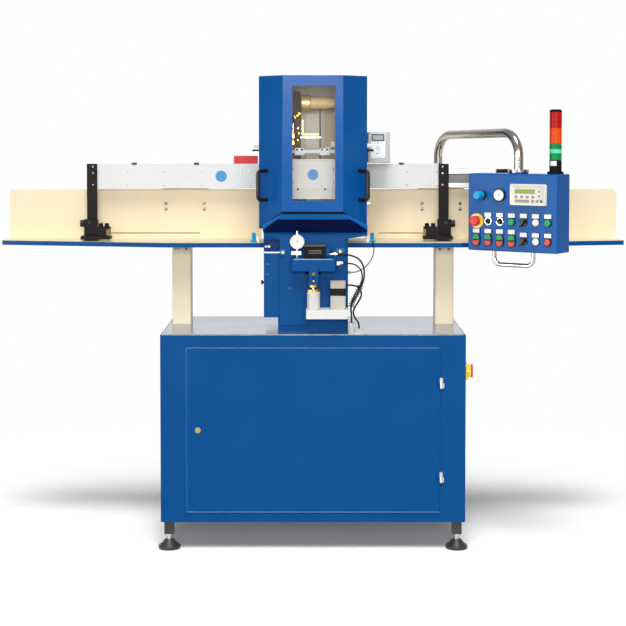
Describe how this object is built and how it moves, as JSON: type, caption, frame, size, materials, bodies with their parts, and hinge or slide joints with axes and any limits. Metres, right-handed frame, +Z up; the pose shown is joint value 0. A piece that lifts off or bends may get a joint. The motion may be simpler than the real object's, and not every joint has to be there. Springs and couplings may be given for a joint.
{
  "type": "centerless grinder",
  "caption": "Centerless grinder on a cabinet, with feed trays and carriages on both sides, a lifting wheel hood, screw infeed and a swivelling operator pendant.",
  "frame": {"origin": "on the floor, under the middle of the machine's width and depth", "axes": "+X to the operator's right along the feed line, +Y to the back, +Z up"},
  "size_m": [2.62, 0.7319, 1.898],
  "materials": {
    "blue_paint": "semi-gloss powder coat",
    "cream_paint": "semi-gloss powder coat",
    "white_paint": "satin powder coat",
    "grey_paint": "satin paint",
    "black_metal": "black anodised",
    "stainless_steel": "satin",
    "zinc": "zinc die casting",
    "steel": "ground",
    "aluminium": "anodised",
    "abrasive": "vitrified abrasive",
    "rubber": "matt",
    "window": "clear polycarbonate",
    "black_plastic": "moulded",
    "yellow_plastic": "moulded",
    "red_plastic": "moulded",
    "green_plastic": "moulded",
    "cyan_plastic": "moulded",
    "light_plastic": "moulded",
    "tower_plastic": "tinted lens",
    "cable_jacket": "cable jacket"
  },
  "bodies": {
    "machine": {"cabinet_shell": "blue_paint", "cabinet_top_plate": "stainless_steel", "door_hinge_posts": "zinc", "main_switch_base": "yellow_plastic", "levelling_feet": "black_metal", "control_modules": "light_plastic", "posts": "cream_paint", "trays": "cream_paint", "back_panels": "cream_paint", "panel_bolts": "zinc", "linear_axes": "aluminium", "sensors": "cyan_plastic", "column": "blue_paint", "column_front_plate": "blue_paint", "head_plate": "grey_paint", "inner_guard": "grey_paint", "dresser": "steel", "spindle_motor": "cream_paint", "work_rest": "steel", "infeed_housing": "white_paint", "feed_motors": "black_metal", "dial_gauge": "steel", "inverter": "light_plastic", "carrying_tube": "stainless_steel", "feed_cables": "cable_jacket", "cable_connectors": "light_plastic"},
    "door": {"cabinet_door": "blue_paint", "door_hinge_leaves": "zinc"},
    "lock": {"door_lock": "zinc"},
    "main_switch": {"main_switch_handle": "red_plastic"},
    "hood": {"hood": "blue_paint", "hood_window": "window", "hood_seal": "rubber", "hood_handles": "black_plastic"},
    "carriage_left": {"arm_left": "black_metal", "cover_left": "white_paint"},
    "carriage_right": {"arm_right": "black_metal", "cover_right": "white_paint"},
    "clamp_screw_left": {"clamp_screw_left": "black_plastic"},
    "clamp_screw_right": {"clamp_screw_right": "black_plastic"},
    "grinding_spindle": {"grinding_wheel": "abrasive"},
    "infeed": {"infeed_slide": "blue_paint"},
    "infeed_screw": {"infeed_screw": "steel"},
    "regulating_spindle": {"regulating_wheel": "rubber"},
    "pendant": {"pendant_box": "blue_paint", "pendant_fittings": "light_plastic", "signal_tower": "tower_plastic"},
    "emergency_stop": {"emergency_stop": "red_plastic"},
    "regulator_knob": {"regulator_knob": "cyan_plastic"},
    "key_switch": {"key_switch": "black_plastic"},
    "selector_1": {"selector_1": "black_plastic"},
    "selector_2": {"selector_2": "black_plastic"},
    "selector_3": {"selector_3": "black_plastic"},
    "green_button_1": {"green_button_1": "green_plastic"},
    "green_button_2": {"green_button_2": "green_plastic"},
    "red_button": {"red_button": "red_plastic"},
    "double_button_1": {"double_button_1": "green_plastic"},
    "double_button_2": {"double_button_2": "green_plastic"},
    "double_button_3": {"double_button_3": "green_plastic"},
    "double_button_4": {"double_button_4": "green_plastic"}
  },
  "joints": [
    {"name": "door_hinge", "type": "hinge", "parent": "machine", "child": "door", "pos_m": [0.5125, -0.254, 0.484], "axis": [0, 0, 1], "range_deg": [0, 110]},
    {"name": "lock_turn", "type": "hinge", "parent": "door", "child": "lock", "pos_m": [-0.4595, -0.25, 0.484], "axis": [0, 1, 0], "range_deg": [0, 90]},
    {"name": "main_switch_turn", "type": "hinge", "parent": "machine", "child": "main_switch", "pos_m": [0.61, -0.186, 0.712], "axis": [1, 0, 0], "range_deg": [0, 90]},
    {"name": "hood_lift", "type": "slide", "parent": "machine", "child": "hood", "axis": [0, 0, 1], "range_m": [0, 0.35]},
    {"name": "carriage_left_slide", "type": "slide", "parent": "machine", "child": "carriage_left", "axis": [1, 0, 0], "range_m": [0, 0.2]},
    {"name": "carriage_right_slide", "type": "slide", "parent": "machine", "child": "carriage_right", "axis": [1, 0, 0], "range_m": [0, 0.2]},
    {"name": "clamp_screw_left_turn", "type": "hinge", "parent": "carriage_left", "child": "clamp_screw_left", "pos_m": [-0.98, 0.167, 1.286], "axis": [1, 0, 0], "range_deg": [-360, 360]},
    {"name": "clamp_screw_right_turn", "type": "hinge", "parent": "carriage_right", "child": "clamp_screw_right", "pos_m": [0.59, 0.167, 1.286], "axis": [1, 0, 0], "range_deg": [-360, 360]},
    {"name": "grinding_spin", "type": "hinge", "parent": "machine", "child": "grinding_spindle", "pos_m": [0, 0.054, 1.369], "axis": [1, 0, 0], "continuous": true},
    {"name": "infeed_travel", "type": "slide", "parent": "machine", "child": "infeed", "axis": [0, 0, 1], "range_m": [-0.006, 0]},
    {"name": "infeed_screw_turn", "type": "hinge", "parent": "machine", "child": "infeed_screw", "pos_m": [0.002, -0.2525, 1], "axis": [0, 0, 1], "range_deg": [-437, 5]},
    {"name": "regulating_spin", "type": "hinge", "parent": "infeed", "child": "regulating_spindle", "pos_m": [0, 0.054, 1.182], "axis": [1, 0, 0], "continuous": true},
    {"name": "pendant_swivel", "type": "hinge", "parent": "machine", "child": "pendant", "pos_m": [0.82, -0.211, 1.51], "axis": [0, 0, 1], "range_deg": [-45, 60]},
    {"name": "emergency_stop_push", "type": "slide", "parent": "pendant", "child": "emergency_stop", "axis": [0.5664, 0.8241, 0], "range_m": [0, 0.004]},
    {"name": "regulator_turn", "type": "hinge", "parent": "pendant", "child": "regulator_knob", "pos_m": [0.67841, -0.18043, 1.421], "axis": [0.5664, 0.8241, 0], "range_deg": [0, 300]},
    {"name": "key_switch_turn", "type": "hinge", "parent": "pendant", "child": "key_switch", "pos_m": [0.70231, -0.19685, 1.317], "axis": [0.5664, 0.8241, 0], "range_deg": [0, 90]},
    {"name": "selector_1_turn", "type": "hinge", "parent": "pendant", "child": "selector_1", "pos_m": [0.74558, -0.22659, 1.317], "axis": [0.5664, 0.8241, 0], "range_deg": [0, 90]},
    {"name": "selector_2_turn", "type": "hinge", "parent": "pendant", "child": "selector_2", "pos_m": [0.83211, -0.28606, 1.317], "axis": [0.5664, 0.8241, 0], "range_deg": [-90, 0]},
    {"name": "selector_3_turn", "type": "hinge", "parent": "pendant", "child": "selector_3", "pos_m": [0.83211, -0.28606, 1.242], "axis": [0.5664, 0.8241, 0], "range_deg": [-90, 0]},
    {"name": "green_button_1_push", "type": "slide", "parent": "pendant", "child": "green_button_1", "axis": [0.5664, 0.8241, 0], "range_m": [0, 0.004], "stiffness_N_per_m": 400},
    {"name": "green_button_2_push", "type": "slide", "parent": "pendant", "child": "green_button_2", "axis": [0.5664, 0.8241, 0], "range_m": [0, 0.004], "stiffness_N_per_m": 400},
    {"name": "red_button_push", "type": "slide", "parent": "pendant", "child": "red_button", "axis": [0.5664, 0.8241, 0], "range_m": [0, 0.004], "stiffness_N_per_m": 400},
    {"name": "double_button_1_rock", "type": "hinge", "parent": "pendant", "child": "double_button_1", "pos_m": [0.6565, -0.17083, 1.242], "axis": [0.8241, -0.5664, 0], "range_deg": [-5, 5], "stiffness_Nm_per_rad": 0.3},
    {"name": "double_button_2_rock", "type": "hinge", "parent": "pendant", "child": "double_button_2", "pos_m": [0.69977, -0.20056, 1.242], "axis": [0.8241, -0.5664, 0], "range_deg": [-5, 5], "stiffness_Nm_per_rad": 0.3},
    {"name": "double_button_3_rock", "type": "hinge", "parent": "pendant", "child": "double_button_3", "pos_m": [0.74303, -0.2303, 1.242], "axis": [0.8241, -0.5664, 0], "range_deg": [-5, 5], "stiffness_Nm_per_rad": 0.3},
    {"name": "double_button_4_rock", "type": "hinge", "parent": "pendant", "child": "double_button_4", "pos_m": [0.7863, -0.26004, 1.242], "axis": [0.8241, -0.5664, 0], "range_deg": [-5, 5], "stiffness_Nm_per_rad": 0.3}
  ],
  "couplings": [
    {"joint": "infeed_screw_turn", "follows": "infeed_travel", "rad_per_m": 1256.6}
  ]
}
